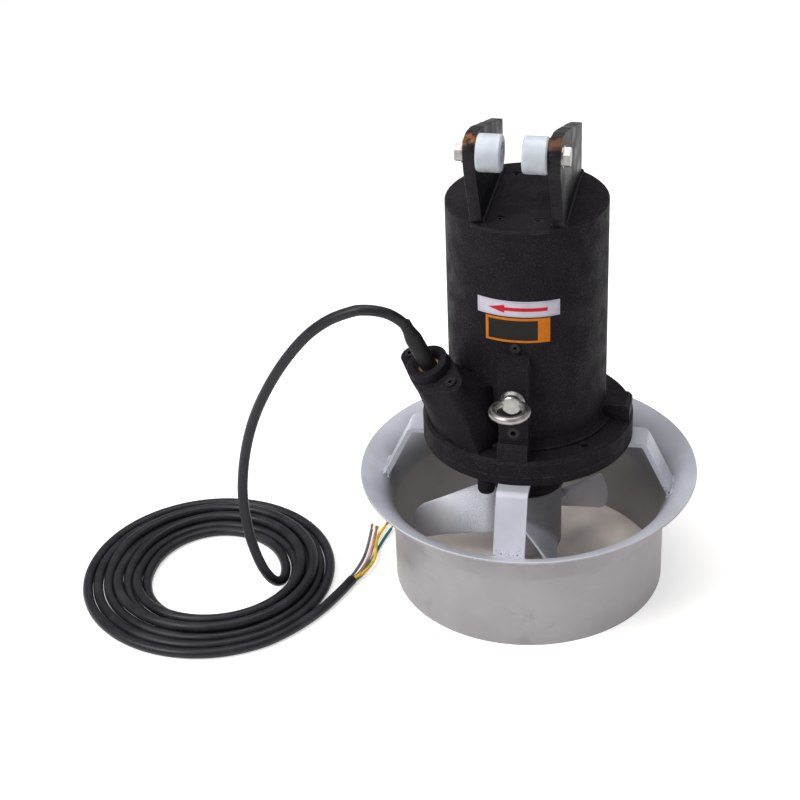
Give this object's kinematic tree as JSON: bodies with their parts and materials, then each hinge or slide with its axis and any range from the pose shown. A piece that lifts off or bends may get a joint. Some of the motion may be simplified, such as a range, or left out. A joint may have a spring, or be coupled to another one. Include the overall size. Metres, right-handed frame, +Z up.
{
  "type": "submersible mixer",
  "caption": "Submersible mixer with a black motor, bladed propeller in a steel duct with bell mouth, struts, guide rollers, lifting eye and a free cable.",
  "frame": {"origin": "centre of the duct's outlet rim, on the floor that the mixer stands on", "axes": "+Z up the motor and propeller axis to the rear cap; -Y the front with the lifting eye and the rollers; X along the roller axis"},
  "size_m": [0.6601, 0.4091, 0.548],
  "materials": {
    "black_paint": "satin black paint on cast iron",
    "duct_sheet": "satin grey coated sheet steel",
    "strut_steel": "matt grey flat bar",
    "cast_propeller": "matt cast stainless steel",
    "bright_steel": "bright stainless steel",
    "dark_steel": "blackened steel fasteners",
    "inner_steel": "machined steel",
    "winding_copper": "copper",
    "seal_face": "lapped seal faces",
    "white_nylon": "turned white nylon",
    "gland_brass": "turned brass",
    "black_rubber": "matt black rubber",
    "core_grey": "cable core insulation",
    "core_pink": "cable core insulation",
    "core_yellow": "cable core insulation",
    "core_green": "cable core insulation"
  },
  "bodies": {
    "mixer": {"duct_tube": "duct_sheet", "bell_mouth": "duct_sheet", "strut_front": "strut_steel", "strut_right": "strut_steel", "strut_back": "strut_steel", "strut_left": "strut_steel", "strut_bolts": "dark_steel", "seal_housing": "black_paint", "flange_o_ring": "black_rubber", "flange_screws": "dark_steel", "drain_plug": "black_paint", "motor_casing": "black_paint", "oil_plug": "dark_steel", "vent_plug": "dark_steel", "lifting_eye": "bright_steel", "stator_core": "inner_steel", "stator_winding": "winding_copper", "rear_cap": "black_paint", "cap_screws": "dark_steel", "guide_ear_left": "black_paint", "guide_ear_right": "black_paint", "roller_bolts": "bright_steel", "roller_washers": "bright_steel", "roller_nuts": "bright_steel", "gland_plate": "black_paint", "gland_screws": "dark_steel", "gland_ring": "gland_brass", "gland_bush": "black_rubber", "cable_sleeve": "black_rubber", "cable_entry": "black_rubber", "bearing_outer_rings": "inner_steel", "bearing_balls": "inner_steel", "seal_seat": "seal_face", "cable_arch": "black_rubber", "cable_coil": "black_rubber", "cable_tail": "black_rubber", "core_grey": "core_grey", "core_pink": "core_pink", "core_yellow": "core_yellow", "core_green": "core_green", "core_strands": "winding_copper"},
    "shaft_set": {"motor_shaft": "inner_steel", "rotor": "inner_steel", "bearing_inner_rings": "inner_steel", "seal_ring": "seal_face", "seal_spring": "inner_steel", "seal_collar": "inner_steel", "propeller": "cast_propeller", "propeller_key": "inner_steel", "propeller_washer": "bright_steel", "propeller_nut": "bright_steel"},
    "left_roller": {"roller_left": "white_nylon"},
    "right_roller": {"roller_right": "white_nylon"}
  },
  "joints": [
    {"name": "propeller_spin", "type": "hinge", "parent": "mixer", "child": "shaft_set", "pos_m": [0, 0, 0.074], "axis": [0, 0, 1], "continuous": true},
    {"name": "roller_left_spin", "type": "hinge", "parent": "mixer", "child": "left_roller", "pos_m": [-0.02175, -0.0865, 0.53], "axis": [1, 0, 0], "continuous": true},
    {"name": "roller_right_spin", "type": "hinge", "parent": "mixer", "child": "right_roller", "pos_m": [0.02175, -0.0865, 0.53], "axis": [1, 0, 0], "continuous": true}
  ]
}
